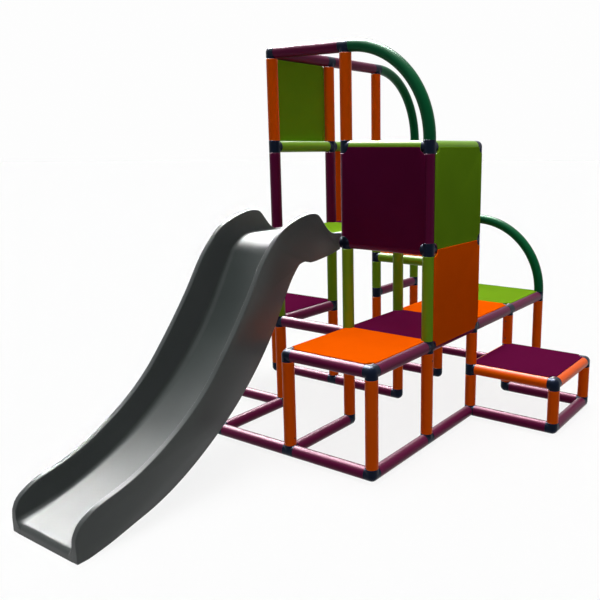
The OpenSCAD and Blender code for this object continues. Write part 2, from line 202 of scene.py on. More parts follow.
class ShaderMaker:
    """Adds nodes to the tree of one material or world."""

    def __init__(self, owner):
        owner.use_nodes = True
        self.tree = owner.node_tree
        self.tree.nodes.clear()

    def add(self, kind, inputs=None, out=0, **settings):
        """One node: its settings first, then its sockets' values or links."""
        node = self.tree.nodes.new(kind)
        for key, value in settings.items():
            setattr(node, key, value)
        for key, value in (inputs or {}).items():
            if isinstance(value, Sock):
                self.tree.links.new(value.socket, node.inputs[key])
            else:
                node.inputs[key].default_value = value
        return Sock(self, node.outputs[out]) if node.outputs else None

    def blend(self, share, first, second):
        """Colour mix of two colours."""
        return self.add("ShaderNodeMix", {MIX_FACTOR: share, MIX_A: first, MIX_B: second},
                        out=MIX_COLOUR, data_type="RGBA")

    def place(self, scale):
        """Coordinates on the piece, stretched by scale."""
        spot = self.add("ShaderNodeTexCoord", out="Object")
        return self.add("ShaderNodeMapping", {"Vector": spot, "Scale": scale})

    def noise(self, scale, detail=2.0, rough=0.5, stretch=(1, 1, 1)):
        """Noise from 0 to 1 with scale spots a metre."""
        return self.add("ShaderNodeTexNoise", {
            "Vector": self.place(stretch), "Scale": scale, "Detail": detail, "Roughness": rough,
        })

    def spread(self, value, low, high):
        """Value stretched so that low becomes 0 and high becomes 1."""
        return self.add("ShaderNodeMapRange",
                        {"Value": value, "From Min": low, "From Max": high}, clamp=True)


def shaded(colour, factor):
    """The colour, lighter or darker by a factor, as four numbers."""
    return tuple(min(c * factor, 1.0) for c in colour) + (1.0,)


def moulded_plastic(name, colour, gloss, tint, rough, grain=0.02, scuff=0.05):
    """Moulded plastic: slightly uneven colour, fine grain, faint scuffs and waviness."""
    material = bpy.data.materials.get(name)
    if material:
        return material
    material = bpy.data.materials.new(name)
    make = ShaderMaker(material)
    clouds = make.spread(make.noise(scale=7.0, detail=3.0), low=0.35, high=0.65)
    specks = make.spread(make.noise(scale=160.0), low=0.62, high=0.80)
    scratches = make.noise(scale=90.0, detail=4.0, rough=0.7, stretch=(1.0, 0.12, 0.35))
    scratches = make.spread(scratches, low=0.60, high=0.78)
    even = make.blend(clouds, shaded(colour, 0.97), shaded(colour, 1.02))
    worn = [c * 0.6 + 0.06 for c in colour]
    paler = make.blend(scratches * scuff, even, shaded(worn, 1.0))
    base = make.blend(specks * 0.04, paler, shaded(colour, 0.8))
    roughness = rough + (clouds - 0.5) * 0.05 + scratches * 0.04
    fine = make.noise(scale=1400.0)
    waves = make.noise(scale=14.0, detail=1.0)
    wavy = make.add("ShaderNodeBump", {"Strength": 0.04, "Distance": 2 * MM, "Height": waves})
    bump = make.add("ShaderNodeBump", {
        "Strength": grain, "Distance": 0.3 * MM, "Height": fine + scratches * 0.3, "Normal": wavy,
    })
    shader = make.add("ShaderNodeBsdfPrincipled", {
        "Base Color": base, "Roughness": roughness, "Normal": bump,
        "Specular IOR Level": gloss, "Specular Tint": tuple(tint) + (1.0,),
    })
    make.add("ShaderNodeOutputMaterial", {"Surface": shader})
    material.diffuse_color = shaded(colour, 1.0)
    return material


def colour_named(slot):
    """The user's colour for a material slot of the record."""
    return tuple(getattr(bpy.context.scene.climber_colours, slot.replace("_plastic", "")))


def tint_of(colour, strength):
    """Reflection tint: the colour's own hue, part of the way from white."""
    top = max(colour)
    return [1 - strength + strength * c / top for c in colour]


def pipe_plastic(slot):
    """Finish of tubes, connectors and arches."""
    colour = colour_named(slot)
    return moulded_plastic(slot + "_pipe", colour, gloss=0.12, tint=tint_of(colour, 0.75),
                           rough=0.36)


def panel_plastic(slot):
    """Finish of the flat panels."""
    colour = colour_named(slot)
    return moulded_plastic(slot + "_panel", colour, gloss=0.0, tint=tint_of(colour, 1.0),
                           rough=0.70, grain=0.05, scuff=0.03)


# Mesh helpers


def outward_mesh(name, verts, faces):
    """A mesh from points and faces, with its faces turned outwards."""
    mesh = bpy.data.meshes.new(name)
    mesh.from_pydata([tuple(v) for v in verts], [], [tuple(f) for f in faces])
    mesh.validate()
    work = bmesh.new()
    work.from_mesh(mesh)
    bmesh.ops.recalc_face_normals(work, faces=work.faces)
    work.to_mesh(mesh)
    work.free()
    return mesh


def new_piece(name, verts, faces, material, nodes=(), smooth=32.0):
    """A shown piece from points and faces, which rides on the frame."""
    mesh = outward_mesh(name, verts, faces)
    return finish_piece(name, mesh, material, nodes, smooth)


def finish_piece(name, mesh, material, nodes=(), smooth=32.0):
    """Shades a mesh, gives it its finish and sets it on the frame; smooth is in degrees."""
    mesh.materials.clear()
    mesh.materials.append(material)
    for polygon in mesh.polygons:
        polygon.use_smooth = True
    mesh.set_sharp_from_angle(angle=math.radians(smooth))
    piece = bpy.data.objects.new(name, mesh)
    bpy.context.scene.collection.objects.link(piece)
    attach(piece, BODY)
    if nodes:
        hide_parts(*nodes)
    return piece


class Shell:
    """Points and faces that grow piece by piece."""

    def __init__(self):
        self.verts = []
        self.faces = []

    def add(self, verts, faces, place=None):
        """Takes in points and faces, moved by a matrix if there is one."""
        start = len(self.verts)
        for v in verts:
            self.verts.append(place @ Vector(v) if place else Vector(v))
        self.faces += [tuple(start + i for i in f) for f in faces]


def loop_faces(rings, around, closed=False):
    """Quads between rings of points; closed joins the last ring to the first."""
    faces = []
    for k in range(rings if closed else rings - 1):
        for i in range(around):
            j = (i + 1) % around
            n = (k + 1) % rings
            faces.append((k * around + i, k * around + j, n * around + j, n * around + i))
    return faces


def capped_faces(rings, around):
    """Quads between rings of points, and one face over each end."""
    last = (rings - 1) * around
    ends = [tuple(range(around)), tuple(range(last, last + around))]
    return loop_faces(rings, around) + ends


def turned(profile, segments):
    """A closed profile of (radius, height) turned about the z axis."""
    verts = []
    for radius, height in profile:
        for i in range(segments):
            angle = 2 * math.pi * i / segments
            verts.append((radius * math.cos(angle), radius * math.sin(angle), height))
    return verts, loop_faces(len(profile), segments, closed=True)


def upright_to(direction):
    """Turns z to a direction."""
    return Vector((0, 0, 1)).rotation_difference(Vector(direction)).to_matrix().to_4x4()


def solids_of(node):
    """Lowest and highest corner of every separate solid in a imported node."""
    # Points that lie together are one; each then takes the lowest label among its neighbours
    mesh = frame["nodes"][node].data
    spots = np.empty(len(mesh.vertices) * 3)
    mesh.vertices.foreach_get("co", spots)
    spots = spots.reshape(-1, 3)
    _, group = np.unique(np.round(spots, 5), axis=0, return_inverse=True)
    group = group.reshape(-1)
    edges = np.empty(len(mesh.edges) * 2, int)
    mesh.edges.foreach_get("vertices", edges)
    ends = group[edges.reshape(-1, 2)]
    label = np.arange(group.max() + 1)
    while True:
        before = label.copy()
        low = np.minimum(label[ends[:, 0]], label[ends[:, 1]])
        np.minimum.at(label, ends[:, 0], low)
        np.minimum.at(label, ends[:, 1], low)
        label = label[label]
        if (label == before).all():
            break
    marks = label[group]
    return [(spots[marks == m].min(0), spots[marks == m].max(0)) for m in np.unique(marks)]


# Tubes and arches

BEND_STEPS = 48


def tube_profile(length, bevel):
    """Section through the wall of a tube with bevelled ends."""
    return [
        (TUBE_R - bevel, 0.0), (TUBE_R, bevel), (TUBE_R, length / 3), (TUBE_R, length * 2 / 3),
        (TUBE_R, length - bevel), (TUBE_R - bevel, length), (BORE_R, length), (BORE_R, 0.0),
    ]


def build_tubes(node, sizes):
    """Every tube of one node."""
    shell = Shell()
    for low, high in solids_of(node):
        span = high - low
        axis = int(np.argmax(span))
        direction = np.eye(3)[axis]
        start = (low + high) / 2 - direction * span[axis] / 2
        verts, faces = turned(tube_profile(span[axis], sizes.joint_bevel), sizes.segments)
        shell.add(verts, faces, Matrix.Translation(start) @ upright_to(direction))
    slot = SLOT_OF[node]
    return new_piece(node + "_pipes", shell.verts, shell.faces, pipe_plastic(slot), [node])


def build_arch(node, sizes):
    """A quarter-circle tube, level at its upper end."""
    low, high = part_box(node)
    step = Vector(ARCH_STEPS[node])
    side = Vector((0, 0, 1)).cross(step)
    middle = (low + high) / 2
    start = middle - step * (BEND_R + TUBE_R) / 2
    start.z = high.z - TUBE_R
    bevel_turn = sizes.joint_bevel / BEND_R
    quarter = math.pi / 2
    swept = quarter - 2 * bevel_turn
    outer = [(bevel_turn + swept * k / BEND_STEPS, TUBE_R) for k in range(BEND_STEPS + 1)]
    inner = [(quarter * k / BEND_STEPS, BORE_R) for k in range(BEND_STEPS, -1, -1)]
    edge = TUBE_R - sizes.joint_bevel
    stations = [(0.0, edge)] + outer + [(quarter, edge)] + inner
    verts = []
    for turn, radius in stations:
        centre = start + step * BEND_R * math.sin(turn)
        centre.z -= BEND_R * (1 - math.cos(turn))
        out = step * math.sin(turn) + Vector((0, 0, math.cos(turn)))
        for i in range(sizes.segments):
            angle = 2 * math.pi * i / sizes.segments
            verts.append(centre + (out * math.cos(angle) + side * math.sin(angle)) * radius)
    faces = loop_faces(len(stations), sizes.segments, closed=True)
    slot = SLOT_OF[node]
    return new_piece(node + "_bend", verts, faces, pipe_plastic(slot), [node])


# Connectors

# Steps from the middle of a face of the round body to its edge
HALF_STEPS = 6
# Length of a connector's box, in reaches of an arm, from which it has one arm or two that way
ONE_ARM = 1.2
TWO_ARMS = 1.8
AXES = [Vector(v) for v in ((1, 0, 0), (-1, 0, 0), (0, 1, 0), (0, -1, 0), (0, 0, 1), (0, 0, -1))]


def body_point(direction, arms):
    """Point of the connector's round body, seen from its middle."""
    d = Vector(direction).normalized()
    reach = TUBE_R
    for arm in arms:
        along = d.dot(arm)
        if along > TINY:
            reach = max(reach, TUBE_R / math.sqrt(max(1 - along * along, TINY)))
    return d * reach


def connector_shell(arms, bevel):
    """Round body with a plug for each arm, and a smooth dome where nothing is plugged in."""
    shell = Shell()
    stops = [math.tan(k / HALF_STEPS * math.pi / 4) for k in range(-HALF_STEPS, HALF_STEPS + 1)]
    count = len(stops)
    for face in AXES:
        u = Vector((face.y, face.z, face.x))
        v = face.cross(u)
        if face not in arms:
            verts = [body_point(face + u * s + v * t, arms) for s in stops for t in stops]
            faces = []
            for i in range(count - 1):
                for j in range(count - 1):
                    a, b = i * count + j, (i + 1) * count + j
                    c, d = b + 1, a + 1
                    if i == j:
                        faces += [(a, b, c), (a, c, d)]
                    elif i + j == count - 2:
                        faces += [(a, b, d), (b, c, d)]
                    else:
                        faces.append((a, b, c, d))
            shell.add(verts, faces)
            continue
        last = stops[-1]
        border = [(s, -last) for s in stops[:-1]] + [(last, t) for t in stops[:-1]]
        border += [(-s, last) for s in stops[:-1]] + [(-last, -t) for t in stops[:-1]]
        spots = [body_point(face + u * s + v * t, arms) for s, t in border]
        rims = [u * s + v * t for s, t in border]
        rings = [spots]
        tip = ARM + PLUG_LENGTH
        profile = [
            (TUBE_R, ARM - bevel), (TUBE_R - bevel, ARM), (PLUG_R, ARM),
            (PLUG_R, tip - PLUG_BEVEL), (PLUG_R - PLUG_BEVEL, tip),
            (PLUG_BORE_R, tip), (PLUG_BORE_R, ARM),
        ]
        for radius, height in profile:
            rings.append([rim.normalized() * radius + face * height for rim in rims])
        verts = [p for ring in rings for p in ring]
        faces = loop_faces(len(rings), len(border))
        start = (len(rings) - 1) * len(border)
        faces.append(tuple(range(start, start + len(border))))
        shell.add(verts, faces)
    return shell


def weld(verts, faces):
    """Joins points that lie on each other."""
    spots = np.array([tuple(v) for v in verts])
    kept, group = np.unique(np.round(spots, 7), axis=0, return_inverse=True)
    group = group.reshape(-1)
    joined = []
    for f in faces:
        ring = [int(group[i]) for i in f]
        ring = [p for k, p in enumerate(ring) if p != ring[k - 1]]
        if len(ring) > 2:
            joined.append(tuple(ring))
    return kept, joined


def arms_of(low, high):
    """Middle of a connector and the directions of its arms, from its box."""
    reach = ARM + PLUG_LENGTH
    middle, arms = [], []
    for axis in range(3):
        span = high[axis] - low[axis]
        unit = np.eye(3)[axis]
        if span > TWO_ARMS * reach:
            middle.append((low[axis] + high[axis]) / 2)
            arms += [Vector(unit), Vector(-unit)]
        elif span > ONE_ARM * reach:
            # The grid, with its half steps, tells which side the arm is on
            origin = GRID_START[axis]
            step = PITCH / 2
            near_low = low[axis] + reach - origin
            near_high = high[axis] - reach - origin
            off_low = abs(near_low / step - round(near_low / step))
            off_high = abs(near_high / step - round(near_high / step))
            if off_low < off_high:
                middle.append(low[axis] + reach)
                arms.append(Vector(-unit))
            else:
                middle.append(high[axis] - reach)
                arms.append(Vector(unit))
        else:
            middle.append((low[axis] + high[axis]) / 2)
    return Vector(middle), arms


def build_connectors(node, sizes):
    """Every connector on one level."""
    shell = Shell()
    made = {}
    for low, high in solids_of(node):
        middle, arms = arms_of(low, high)
        key = tuple(sorted(tuple(round(c) for c in arm) for arm in arms))
        if key not in made:
            form = connector_shell([Vector(k) for k in key], sizes.joint_bevel)
            made[key] = weld(form.verts, form.faces)
        shell.add(made[key][0], made[key][1], Matrix.Translation(middle))
    slot = SLOT_OF[node]
    return new_piece(node + "_joints", shell.verts, shell.faces, pipe_plastic(slot), [node])


# Panels

PANEL_FACE = 4 * MM
PANEL_BACK = 8 * MM
PANEL_SEAT_GAP = 0.2 * MM
BACK_SIDE_GAP = 0.5 * MM
NOTCH_GAP = 2.5 * MM
BACK_CORNER = 14 * MM
PANEL_SEAT = TUBE_R + PANEL_SEAT_GAP
PANEL_HALF = PITCH / 2 - PANEL_EDGE_GAP
BACK_HALF = PITCH / 2 - TUBE_R - BACK_SIDE_GAP
NOTCH_R = TUBE_R + NOTCH_GAP
BACK_NOTCH_R = NOTCH_R + BACK_CORNER
# Width, height and depth of a clip pocket
POCKET = (50 * MM, 7 * MM, 5 * MM)
POCKET_INSET = 6 * MM
BACK_BEVEL = 0.6 * MM
LOWER_BEVEL = 0.4 * MM
NOTCH_STEPS = 12
ROUND_STEPS = 4


def notched_square(half, notch_r, height):
    """Outline of a square with a round bite out of each corner."""
    ring = []
    corner = PITCH / 2
    for quarter in range(4):
        spin = Matrix.Rotation(quarter * math.pi / 2, 3, "Z")
        first = math.pi + math.asin((corner - half) / notch_r)
        last = math.pi * 3 / 2 - math.asin((corner - half) / notch_r)
        for k in range(NOTCH_STEPS + 1):
            angle = last + (first - last) * k / NOTCH_STEPS
            x = corner + notch_r * math.cos(angle)
            y = corner + notch_r * math.sin(angle)
            ring.append(spin @ Vector((x, y, height)))
    return ring


def panel_mesh(sizes):
    """One panel, face up about its middle: a rounded plate and a raised back with pockets."""
    radius = sizes.panel_round
    top = PANEL_SEAT + PANEL_FACE
    root = PANEL_SEAT
    back = PANEL_SEAT - PANEL_BACK
    levels = [
        (BACK_HALF - BACK_BEVEL, BACK_NOTCH_R + BACK_BEVEL, back),
        (BACK_HALF, BACK_NOTCH_R, back + BACK_BEVEL),
        (BACK_HALF, BACK_NOTCH_R, root),
        (PANEL_HALF - LOWER_BEVEL, NOTCH_R + LOWER_BEVEL, root),
        (PANEL_HALF, NOTCH_R, root + LOWER_BEVEL),
    ]
    for k in range(ROUND_STEPS + 1):
        angle = k / ROUND_STEPS * math.pi / 2
        inset = radius * (1 - math.cos(angle))
        height = top - radius + radius * math.sin(angle)
        levels.append((PANEL_HALF - inset, NOTCH_R + inset, height))
    rings = [notched_square(half, notch, height) for half, notch, height in levels]
    verts = [p for ring in rings for p in ring]
    body = helper("panel_body", verts, capped_faces(len(rings), len(rings[0])))
    cutters = Shell()
    width, height, depth = POCKET
    x0 = BACK_HALF - POCKET_INSET / 2 - width
    y0 = BACK_HALF - POCKET_INSET - height
    for sx in (-1, 1):
        for sy in (-1, 1):
            low = (min(sx * x0, sx * (x0 + width)), min(sy * y0, sy * (y0 + height)), back - MM)
            cutters.add(*block(low, (width, height, depth + MM)))
    return carved(body, helper("pocket_cutters", cutters.verts, cutters.faces))


def block(low, size):
    """Corners and faces of a box."""
    x, y, z = low
    a, b, c = size
    verts = [(x + i * a, y + j * b, z + k * c) for k in (0, 1) for j in (0, 1) for i in (0, 1)]
    faces = [(0, 2, 3, 1), (4, 5, 7, 6), (0, 1, 5, 4), (2, 6, 7, 3), (0, 4, 6, 2), (1, 3, 7, 5)]
    return verts, faces


def helper(name, verts, faces):
    """A helper object for a cut."""
    thing = bpy.data.objects.new(name, outward_mesh(name, verts, faces))
    bpy.context.scene.collection.objects.link(thing)
    return thing


def carved(body, cutter):
    """Mesh of a helper object with another cut out of it; both helpers are removed."""
    modifier = body.modifiers.new("cut", "BOOLEAN")
    modifier.operation = "DIFFERENCE"
    modifier.solver = "EXACT"
    modifier.object = cutter
    bpy.context.view_layer.update()
    shape = body.evaluated_get(bpy.context.evaluated_depsgraph_get())
    mesh = bpy.data.meshes.new_from_object(shape)
    for thing in (body, cutter):
        spare = thing.data
        bpy.data.objects.remove(thing)
        bpy.data.meshes.remove(spare)
    return mesh


def build_panel(node, pattern):
    """A panel on its node's place, face along its outward direction."""
    low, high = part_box(node)
    facing = Vector(WALL_FACINGS.get(node, (0, 0, 1)))
    turn = upright_to(facing)
    middle = (low + high) / 2
    outer = max(low.dot(facing), high.dot(facing))
    middle += facing * (outer - PANEL_SEAT - PANEL_FACE - middle.dot(facing))
    mesh = pattern.copy()
    mesh.transform(Matrix.Translation(middle) @ turn)
    mesh.name = node + "_board"
    slot = SLOT_OF[node]
    return finish_piece(node + "_board", mesh, panel_plastic(slot), [node])


# Slide

# Path of the bed in side view: u forward from the tube that the slide hangs on, v up
HOOK_V = 2 * PITCH + TUBE_R
BED_RISE = 12 * MM
SLIDE_RISE = HOOK_V + TUBE_R + BED_RISE
SLIDE_LEVEL = 210 * MM
CREST_R = 145 * MM
STEEP = math.radians(59)
STEEP_LENGTH = 200 * MM
FOOT_SLOPE = math.radians(8)
FOOT_RISE = 34 * MM
NOSE_R = 8 * MM
CREST_LENGTH = CREST_R * STEEP
CREST_END = (SLIDE_LEVEL + CREST_R * math.sin(STEEP), SLIDE_RISE - CREST_R * (1 - math.cos(STEEP)))
STEEP_END = (CREST_END[0] + STEEP_LENGTH * math.cos(STEEP),
             CREST_END[1] - STEEP_LENGTH * math.sin(STEEP))
RUN_OUT_R = (STEEP_END[1] - FOOT_RISE) / (math.cos(FOOT_SLOPE) - math.cos(STEEP))
RUN_OUT_LENGTH = RUN_OUT_R * (STEEP - FOOT_SLOPE)
BED_LENGTH = SLIDE_LEVEL + CREST_LENGTH + STEEP_LENGTH + RUN_OUT_LENGTH
FOOT_U = STEEP_END[0] + RUN_OUT_R * (math.sin(STEEP) - math.sin(FOOT_SLOPE))
SLIDE_REACH = FOOT_U + NOSE_R

# Section and front edge of the bed; its roots reach into the walls
BED_T = 9 * MM
BED_ROOT = 5 * MM
ROOM_MARGIN = 3 * MM
LEAST_ROOM = 0.05 * MM
FILLET_STEPS = 9
BED_STRIPS = 6
LIP_R = 19 * MM
LIP_BACK = 0.1 * MM
LIP_ROOT = 0.3 * MM
LIP_STEPS = 12

# Walls: thickness, spacing of the outline's points, front corner, toe and hook
SLIDE_WALL = 23 * MM
WALL_LAP = 4 * MM
OUTLINE_STEP = 12 * MM
LEAST_STEP = 0.05 * MM
RIM_STEPS = 5
MITRE_LIMIT = 1.8
FRONT_BEND = 10 * MM
FRONT_STEPS = 8
FLOOR_NEAR = 4 * MM
TOE_BEVEL = 1.2 * MM
HOOK_GAP = 0.3 * MM
HOOK_STEPS = 24
PRONG_BACK = 18 * MM
PRONG_T = 4 * MM
PRONG_BEVEL = 1.5 * MM
# Shares of the full edge rounding on the underside, near the floor, at the toe and round the hook
UNDER_SHARE = 0.3
FLOOR_SHARE = 0.1
TOE_SHARE = 0.05
HOOK_SHARE = 0.15
HOOK_REACH = 20 * MM

# Ribs under the bed, and the block between the walls that bears on the tube
RIBS = 6
RIB_T = 8 * MM
RIB_DEPTH = 16 * MM
BLOCK_LENGTH = 58 * MM
BLOCK_DROP = 36 * MM
BLOCK_BELOW_BED = 2 * MM
BLOCK_ARC_STEPS = 16

# Height of the walls over the bed: distance along the bed, height, both in millimetres
WALL_HEIGHTS = [
    (0, 5), (65, 8), (98, 27), (128, 60), (156, 90), (190, 100), (228, 98), (265, 98),
    (309, 109), (345, 119), (385, 129), (440, 137), (530, 140),
] + [(BED_LENGTH / MM - back, height) for back, height in (
    (966, 143), (821, 137), (689, 124), (580, 116), (487, 111), (403, 107), (325, 104),
    (254, 102), (190, 103), (128, 104), (86, 100), (44, 87), (24, 76), (9, 61), (0, 45),
)]
# Depth of the walls under the bed, the same way
WALL_DEPTHS = [
    (0, 60), (57, 76), (122, 88), (226, 97), (313, 73), (370, 52), (450, 40), (700, 41),
] + [(BED_LENGTH / MM - back, depth) for back, depth in (
    (570, 43), (360, 46), (272, 44), (191, 39), (78, 39), (0, 37),
)]
# Radius of the fillets between bed and walls, the same way
FILLETS = [
    (0, 9), (300, 10), (400, 20), (550, 26), (1000, 24), (1300, 17), (1500, 17),
    (BED_LENGTH / MM, 24),
]
# How near before a table's point a distance counts as on it, in millimetres
TABLE_SLACK = 0.01


def bed_at(distance):
    """Place forward, place up and slope of the bed at a distance along it."""
    if distance <= SLIDE_LEVEL:
        return distance, SLIDE_RISE, 0.0
    distance -= SLIDE_LEVEL
    if distance <= CREST_LENGTH:
        turn = distance / CREST_R
        return (SLIDE_LEVEL + CREST_R * math.sin(turn),
                SLIDE_RISE - CREST_R * (1 - math.cos(turn)), turn)
    distance -= CREST_LENGTH
    if distance <= STEEP_LENGTH:
        return (CREST_END[0] + distance * math.cos(STEEP),
                CREST_END[1] - distance * math.sin(STEEP), STEEP)
    turn = STEEP - (distance - STEEP_LENGTH) / RUN_OUT_R
    return (STEEP_END[0] + RUN_OUT_R * (math.sin(STEEP) - math.sin(turn)),
            STEEP_END[1] - RUN_OUT_R * (math.cos(turn) - math.cos(STEEP)), turn)


def off_bed(distance, height):
    """Point at a height square to the bed."""
    u, v, slope = bed_at(distance)
    return u + height * math.sin(slope), v + height * math.cos(slope)


def curve_through(table, distance):
    """Smooth curve through a table of millimetres, in metres."""
    x = distance / MM
    k = max(i for i in range(len(table) - 1) if table[i][0] <= x + TABLE_SLACK or i == 0)
    (x0, y0), (x1, y1) = table[k], table[k + 1]

    def slope(i):
        a, b = max(i - 1, 0), min(i + 1, len(table) - 1)
        return (table[b][1] - table[a][1]) / (table[b][0] - table[a][0])

    width = x1 - x0
    t = min(max((x - x0) / width, 0.0), 1.0)
    m0, m1 = slope(k) * width, slope(k + 1) * width
    return MM * (y0 * (2 * t**3 - 3 * t**2 + 1) + m0 * (t**3 - 2 * t**2 + t)
                 + y1 * (3 * t**2 - 2 * t**3) + m1 * (t**3 - t**2))


def stations(step):
    """Distances along the bed, closer together on the crest."""
    marks = list(np.arange(0.0, SLIDE_LEVEL, step))
    crest = int(CREST_LENGTH / (step / 2))
    marks += [SLIDE_LEVEL + CREST_LENGTH * k / crest for k in range(crest)]
    rest = SLIDE_LEVEL + CREST_LENGTH
    count = int((BED_LENGTH - rest) / step)
    return marks + [rest + (BED_LENGTH - rest) * k / count for k in range(count + 1)]


def hook_arc(steps):
    """Points round the tube, from the prong under it to its top."""
    radius = TUBE_R + HOOK_GAP
    prong_turn = math.asin(PRONG_BACK / radius)
    points = []
    for k in range(steps + 1):
        angle = -math.pi / 2 + prong_turn + (math.pi - prong_turn) * k / steps
        points.append((radius * math.cos(angle), HOOK_V + radius * math.sin(angle)))
    return points


def wall_outline():
    """Side view of a wall, clockwise, as (forward, up, share of the full edge rounding)."""
    marks = stations(OUTLINE_STEP)
    top = [off_bed(d, curve_through(WALL_HEIGHTS, d)) + (1.0,) for d in marks]
    under = []
    for d in marks:
        u, v = off_bed(d, -curve_through(WALL_DEPTHS, d))
        if u > PRONG_BACK + 2 * MM:
            under.append((u, max(v, 0.0), UNDER_SHARE if v > FLOOR_NEAR else FLOOR_SHARE))
    front = []
    corner = top[-1]
    bend = (SLIDE_REACH, corner[1] - FRONT_BEND)
    last = (SLIDE_REACH, FOOT_RISE)
    for k in range(1, FRONT_STEPS + 1):
        t = k / FRONT_STEPS
        u, v = ((1 - t) ** 2 * corner[i] + 2 * t * (1 - t) * bend[i] + t * t * last[i]
                for i in (0, 1))
        front.append((u, v, max(1 - 1.3 * t, TOE_SHARE)))
    toe = [(SLIDE_REACH, TOE_BEVEL, TOE_SHARE), (SLIDE_REACH - TOE_BEVEL, 0.0, TOE_SHARE)]
    prong_v = HOOK_V - TUBE_R - HOOK_GAP - PRONG_T
    tail = [(PRONG_BACK + PRONG_BEVEL, prong_v + 0.2 * MM, HOOK_SHARE),
            (PRONG_BACK, prong_v + PRONG_BEVEL, HOOK_SHARE)]
    hook = [(u, v, HOOK_SHARE) for u, v in hook_arc(HOOK_STEPS)]
    ring = top + front + toe + under[::-1] + tail + hook
    ring = [(u, v, HOOK_SHARE if math.hypot(u, v - HOOK_V) < TUBE_R + HOOK_REACH else share)
            for u, v, share in ring]
    return [p for k, p in enumerate(ring) if math.dist(p[:2], ring[k - 1][:2]) > LEAST_STEP]


def inset_ring(ring, amount):
    """Clockwise ring moved inwards by an amount, times each point's own share."""
    moved = []
    for k, (u, v, share) in enumerate(ring):
        before = ring[k - 1]
        after = ring[(k + 1) % len(ring)]
        n0 = Vector((v - before[1], before[0] - u)).normalized()
        n1 = Vector((after[1] - v, u - after[0])).normalized()
        mid = (n0 + n1).normalized()
        scale = amount * share / max(mid.dot(n0), 1 / MITRE_LIMIT)
        moved.append((u + mid.x * scale, v + mid.y * scale))
    return moved


def wall_shell(side, rim):
    """One wall of the slide with rounded edges; side is its outer face's place and way inwards."""
    ring = wall_outline()
    curve = []
    for k in range(RIM_STEPS + 1):
        angle = k / RIM_STEPS * math.pi / 2
        curve.append((rim * (1 - math.cos(angle)), rim * (1 - math.sin(angle))))
    layers = curve + [(SLIDE_WALL - across, inset) for across, inset in curve[::-1]]
    verts = []
    for across, inset in layers:
        verts += [(u, v, side[0] + side[1] * across) for u, v in inset_ring(ring, inset)]
    return verts, capped_faces(len(layers), len(ring))


def bed_stations():
    """Stations of the bed: forward, up, slope, fillet radius, room for it, reach into the walls."""
    rows = []
    centre_u = SLIDE_REACH - LIP_BACK - LIP_R
    lip_u = centre_u + LIP_R * math.sin(FOOT_SLOPE)
    for d in stations(OUTLINE_STEP):
        u, v, slope = bed_at(d)
        if u < lip_u - MM:
            room = curve_through(WALL_HEIGHTS, d) - ROOM_MARGIN
            rows.append((u, v, slope, curve_through(FILLETS, d), room, BED_ROOT))
    centre_v = FOOT_RISE + (FOOT_U - lip_u) * math.tan(FOOT_SLOPE) - LIP_R * math.cos(FOOT_SLOPE)
    radius, room = rows[-1][3:5]
    for k in range(LIP_STEPS + 1):
        turn = FOOT_SLOPE + (math.pi / 2 - FOOT_SLOPE) * k / LIP_STEPS
        limit = (SLIDE_REACH - centre_u) / math.sin(turn) - LIP_R
        rows.append((centre_u + LIP_R * math.sin(turn), centre_v + LIP_R * math.cos(turn), turn,
                     radius, max(min(room, limit), LEAST_ROOM), LIP_ROOT))
    rows.append((centre_u + LIP_R, 0.0, math.pi / 2, radius, LEAST_ROOM, LIP_ROOT))
    return rows


def bed_shell(width):
    """The bed with its fillets, swept along its path and down over the front edge."""
    verts = []
    rows = bed_stations()
    for u, v, slope, radius, room, root in rows:
        turn_end = math.pi / 2
        if room < radius:
            turn_end = math.acos(1 - max(room, 0.0) / radius)
        half = []
        for k in range(FILLET_STEPS + 1):
            turn = turn_end * (1 - k / FILLET_STEPS)
            half.append((radius * (1 - math.cos(turn)), SLIDE_WALL + radius * (1 - math.sin(turn))))
        half.insert(0, (half[0][0], SLIDE_WALL - root))
        level = width - 2 * SLIDE_WALL - 2 * radius
        middle = [(0.0, SLIDE_WALL + radius + level * k / BED_STRIPS) for k in range(1, BED_STRIPS)]
        section = half + middle + [(h, width - w) for h, w in reversed(half)]
        section += [(-BED_T, width - SLIDE_WALL + root), (-BED_T, SLIDE_WALL - root)]
        for height, across in section:
            verts.append((u + height * math.sin(slope), v + height * math.cos(slope), across))
    return verts, capped_faces(len(rows), len(section))


def rib_shells(width):
    """Ribs under the bed, from wall to wall."""
    shells = []
    span = BED_LENGTH - SLIDE_LEVEL - 2 * NOSE_R
    low = (-RIB_T / 2, -BED_T - RIB_DEPTH, SLIDE_WALL - WALL_LAP)
    size = (RIB_T, RIB_DEPTH + MM, width - 2 * SLIDE_WALL + 2 * WALL_LAP)
    for k in range(RIBS):
        u, v, slope = bed_at(SLIDE_LEVEL + k * span / RIBS)
        verts, faces = block(low, size)
        turned_verts = [(u + a * math.cos(slope) + b * math.sin(slope),
                         v - a * math.sin(slope) + b * math.cos(slope), w) for a, b, w in verts]
        shells.append((turned_verts, faces))
    return shells


def hook_block(width):
    """Solid stretch between the walls that bears on the tube."""
    top = SLIDE_RISE - BLOCK_BELOW_BED
    ring = [(0.0, top), (BLOCK_LENGTH, top), (BLOCK_LENGTH, HOOK_V - BLOCK_DROP)]
    ring += [off_bed(d, -curve_through(WALL_DEPTHS, d) + MM) for d in (45 * MM, 30 * MM)]
    ring.append((PRONG_BACK + 0.5 * MM, HOOK_V - TUBE_R - HOOK_GAP - PRONG_T + MM))
    ring += hook_arc(BLOCK_ARC_STEPS)
    sides = (SLIDE_WALL - WALL_LAP, width - SLIDE_WALL + WALL_LAP)
    verts = [(u, v, w) for w in sides for u, v in ring]
    return verts, capped_faces(2, len(ring))


